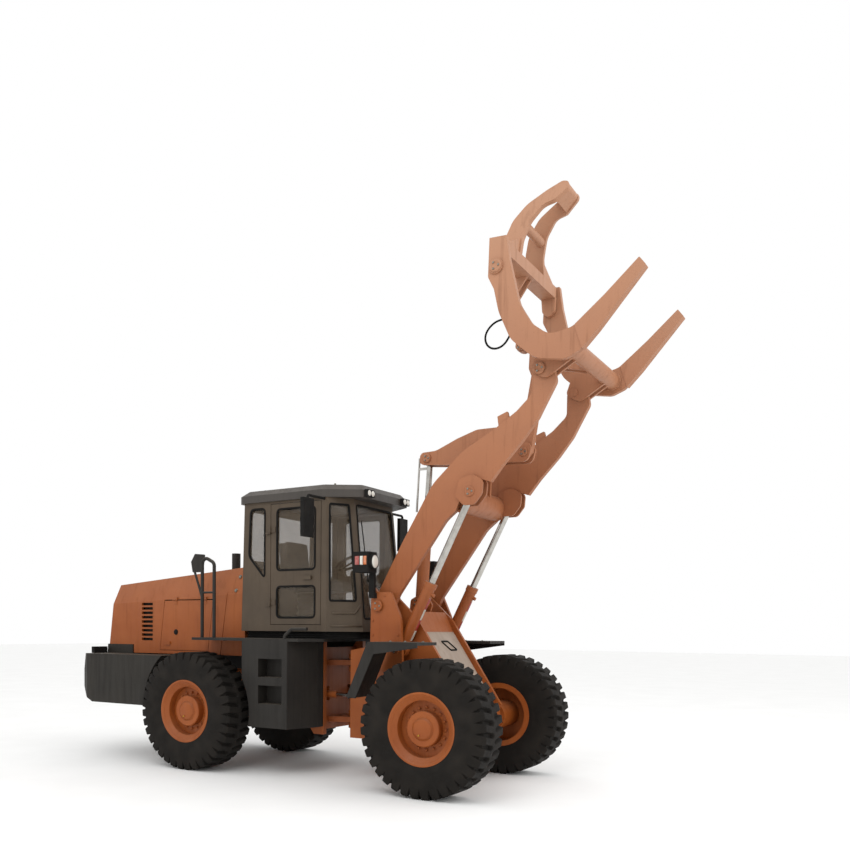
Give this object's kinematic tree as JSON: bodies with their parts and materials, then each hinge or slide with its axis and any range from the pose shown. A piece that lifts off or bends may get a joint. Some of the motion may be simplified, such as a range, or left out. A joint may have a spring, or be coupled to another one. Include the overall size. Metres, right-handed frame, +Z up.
{
  "type": "articulated wheel loader with log fork",
  "caption": "Articulated wheel loader with a hinged frame, hollow cab, raised lifting boom, and a log fork with a top clamp for gripping timber.",
  "frame": {"origin": "on the ground, midway between the axles and the fork's tips, on the machine's centre plane", "axes": "+X forward, +Y to the driver's left, +Z up"},
  "size_m": [6.7928, 2.325, 5.9165],
  "materials": {
    "orange_paint": "worn gloss",
    "dark_paint": "satin",
    "cab_paint": "satin",
    "tyre": "matt",
    "glass": "clear",
    "chrome": "polished",
    "cast": "painted",
    "steel": "satin",
    "plastic": "matt",
    "lamp": "clear",
    "cushion": "woven",
    "rubber": "matt"
  },
  "bodies": {
    "rear_body": {"cab_frame": "cab_paint", "cab_glass": "glass", "cab_roof": "cab_paint", "console": "plastic", "counterweight": "cast", "deck": "dark_paint", "engine_block": "steel", "exhaust": "dark_paint", "handrails": "dark_paint", "hood": "orange_paint", "lamps": "lamp", "mirrors": "plastic", "rear_axle": "orange_paint", "rear_frame": "orange_paint", "rear_grille": "dark_paint", "seat": "cushion", "side_tanks": "dark_paint"},
    "front_body": {"front_frame": "orange_paint", "front_axle": "orange_paint", "front_fenders": "dark_paint", "headlamps": "plastic"},
    "boom": {"boom": "orange_paint"},
    "lift_barrels": {"lift_barrels": "orange_paint"},
    "lift_rods": {"lift_rods": "chrome"},
    "rocker": {"rocker": "orange_paint"},
    "tilt_link": {"tilt_link": "orange_paint"},
    "tilt_barrel": {"tilt_barrel": "orange_paint"},
    "tilt_rod": {"tilt_rod": "chrome"},
    "fork": {"fork_carriage": "orange_paint", "fork_tines": "orange_paint", "fork_hose": "rubber"},
    "clamp": {"clamp": "orange_paint"},
    "clamp_barrel": {"clamp_barrel": "orange_paint"},
    "clamp_rod": {"clamp_rod": "chrome"},
    "wheel_front_left": {"tyre_front_left": "tyre", "rim_front_left": "orange_paint"},
    "wheel_front_right": {"tyre_front_right": "tyre", "rim_front_right": "orange_paint"},
    "wheel_rear_left": {"tyre_rear_left": "tyre", "rim_rear_left": "orange_paint"},
    "wheel_rear_right": {"tyre_rear_right": "tyre", "rim_rear_right": "orange_paint"},
    "cab_door_left": {"cab_door_left": "cab_paint", "door_glass_left": "glass"},
    "hood_door_left": {"hood_door_left": "orange_paint"},
    "steer_barrel_left": {"steer_barrel_left": "orange_paint"},
    "steer_rod_left": {"steer_rod_left": "chrome"},
    "cab_door_right": {"cab_door_right": "cab_paint", "door_glass_right": "glass"},
    "hood_door_right": {"hood_door_right": "orange_paint"},
    "steer_barrel_right": {"steer_barrel_right": "orange_paint"},
    "steer_rod_right": {"steer_rod_right": "chrome"}
  },
  "joints": [
    {"name": "articulation", "type": "hinge", "parent": "rear_body", "child": "front_body", "pos_m": [0.11, 0, 0.9], "axis": [0, 0, 1], "range_deg": [-35, 35]},
    {"name": "wheel_front_left", "type": "hinge", "parent": "front_body", "child": "wheel_front_left", "pos_m": [1.5, 0.94, 0.667], "axis": [0, 1, 0], "continuous": true},
    {"name": "wheel_front_right", "type": "hinge", "parent": "front_body", "child": "wheel_front_right", "pos_m": [1.5, -0.94, 0.667], "axis": [0, 1, 0], "continuous": true},
    {"name": "wheel_rear_left", "type": "hinge", "parent": "rear_body", "child": "wheel_rear_left", "pos_m": [-1.5, 0.94, 0.667], "axis": [0, 1, 0], "continuous": true},
    {"name": "wheel_rear_right", "type": "hinge", "parent": "rear_body", "child": "wheel_rear_right", "pos_m": [-1.5, -0.94, 0.667], "axis": [0, 1, 0], "continuous": true},
    {"name": "boom_lift", "type": "hinge", "parent": "front_body", "child": "boom", "pos_m": [0.72, 0, 1.85], "axis": [0, -1, 0], "range_deg": [-84, 0]},
    {"name": "fork_tilt", "type": "hinge", "parent": "boom", "child": "fork", "pos_m": [2.4, 0, 4.04], "axis": [0, 1, 0], "range_deg": [-39, 85]},
    {"name": "clamp_close", "type": "hinge", "parent": "fork", "child": "clamp", "pos_m": [2.04, 0, 4.985], "axis": [0, 1, 0], "range_deg": [0, 85]},
    {"name": "lift_barrel_swing", "type": "hinge", "parent": "front_body", "child": "lift_barrels", "pos_m": [0.94, 0, 1.4], "axis": [0, -1, 0], "range_deg": [-86.18, 0.5]},
    {"name": "lift_rod_slide", "type": "slide", "parent": "lift_barrels", "child": "lift_rods", "axis": [0.4426, 0, 0.8967], "range_m": [-0.6324, 0.002]},
    {"name": "rocker_swing", "type": "hinge", "parent": "boom", "child": "rocker", "pos_m": [1.55, 0, 3.45], "axis": [0, -1, 0], "range_deg": [-10.79, 22.92]},
    {"name": "tilt_link_swing", "type": "hinge", "parent": "rocker", "child": "tilt_link", "pos_m": [2.06, 0, 3.39], "axis": [0, -1, 0], "range_deg": [-40.4, 18.81]},
    {"name": "tilt_barrel_swing", "type": "hinge", "parent": "front_body", "child": "tilt_barrel", "pos_m": [0.9, 0, 1.9], "axis": [0, -1, 0], "range_deg": [-93.86, 0.5]},
    {"name": "tilt_rod_slide", "type": "slide", "parent": "tilt_barrel", "child": "tilt_rod", "axis": [0.0587, 0, 0.9983], "range_m": [-0.2179, 0.101]},
    {"name": "clamp_barrel_swing", "type": "hinge", "parent": "fork", "child": "clamp_barrel", "pos_m": [2.01, 0, 4.44], "axis": [0, -1, 0], "range_deg": [-11.24, 0.5]},
    {"name": "clamp_rod_slide", "type": "slide", "parent": "clamp_barrel", "child": "clamp_rod", "axis": [-0.3119, 0, 0.9501], "range_m": [-0.002, 0.2551]},
    {"name": "steer_barrel_swing_left", "type": "hinge", "parent": "rear_body", "child": "steer_barrel_left", "pos_m": [-0.42, 0.29, 0.88], "axis": [0, 0, 1], "range_deg": [-9.07, 9.07]},
    {"name": "steer_rod_slide_left", "type": "slide", "parent": "steer_barrel_left", "child": "steer_rod_left", "axis": [0.9999, -0.0139, 0], "range_m": [-0.1716, 0.1716]},
    {"name": "cab_door_left", "type": "hinge", "parent": "rear_body", "child": "cab_door_left", "pos_m": [-0.62, 0.714, 2.3], "axis": [0, 0, 1], "range_deg": [0, 85]},
    {"name": "hood_door_left", "type": "hinge", "parent": "rear_body", "child": "hood_door_left", "pos_m": [-1.885, 0.611, 1.95], "axis": [1, 0, 0], "range_deg": [0, 70]},
    {"name": "steer_barrel_swing_right", "type": "hinge", "parent": "rear_body", "child": "steer_barrel_right", "pos_m": [-0.42, -0.29, 0.88], "axis": [0, 0, 1], "range_deg": [-9.07, 9.07]},
    {"name": "steer_rod_slide_right", "type": "slide", "parent": "steer_barrel_right", "child": "steer_rod_right", "axis": [0.9999, 0.0139, 0], "range_m": [-0.1716, 0.1716]},
    {"name": "cab_door_right", "type": "hinge", "parent": "rear_body", "child": "cab_door_right", "pos_m": [-0.62, -0.714, 2.3], "axis": [0, 0, -1], "range_deg": [0, 85]},
    {"name": "hood_door_right", "type": "hinge", "parent": "rear_body", "child": "hood_door_right", "pos_m": [-1.885, -0.611, 1.95], "axis": [-1, 0, 0], "range_deg": [0, 70]}
  ],
  "couplings": [
    {"joint": "lift_barrel_swing", "follows": "boom_lift", "ratio": 1.02},
    {"joint": "lift_rod_slide", "follows": "boom_lift", "m_per_rad": 0.43},
    {"joint": "rocker_swing", "follows": "fork_tilt", "ratio": 0.2638},
    {"joint": "tilt_link_swing", "follows": "fork_tilt", "ratio": -0.4694},
    {"joint": "tilt_barrel_swing", "follows": "boom_lift", "ratio": 1.1114},
    {"joint": "tilt_rod_slide", "follows": "fork_tilt", "m_per_rad": -0.1455},
    {"joint": "clamp_barrel_swing", "follows": "clamp_close", "ratio": -0.1263},
    {"joint": "clamp_rod_slide", "follows": "clamp_close", "m_per_rad": 0.1706},
    {"joint": "steer_barrel_swing_left", "follows": "articulation", "ratio": 0.24499},
    {"joint": "steer_rod_slide_left", "follows": "articulation", "m_per_rad": -0.27768},
    {"joint": "steer_barrel_swing_right", "follows": "articulation", "ratio": 0.24499},
    {"joint": "steer_rod_slide_right", "follows": "articulation", "m_per_rad": 0.27768}
  ]
}
